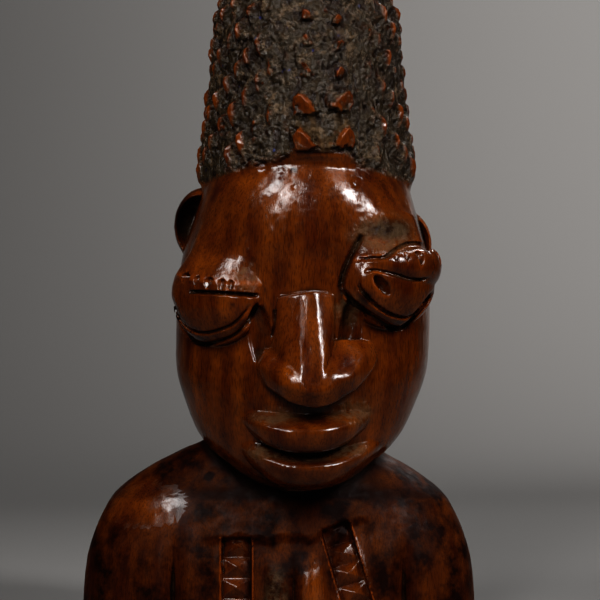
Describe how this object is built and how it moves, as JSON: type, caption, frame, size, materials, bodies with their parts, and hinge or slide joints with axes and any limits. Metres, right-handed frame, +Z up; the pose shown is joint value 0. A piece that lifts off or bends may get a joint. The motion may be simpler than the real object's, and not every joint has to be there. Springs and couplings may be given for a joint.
{
  "type": "ibeji figure bust",
  "caption": "Carved wooden ibeji twin figure as a bust: tall studded coiffure, bulging eyes, broad nose and lips, small ears and bare shoulders with bands of chips, cut flat below.",
  "frame": {"origin": "middle of the flat underside, below the middle of the shoulders", "axes": "+Z up along the figure's height, the figure faces -Y, +X to the right as its face is looked at"},
  "size_m": [0.0942, 0.0745, 0.1712],
  "materials": {
    "wood": "glossy red-brown wood worn smooth by handling, with dark crust and dust in the recesses"
  },
  "bodies": {
    "root": {"figure": "wood"}
  },
  "joints": []
}
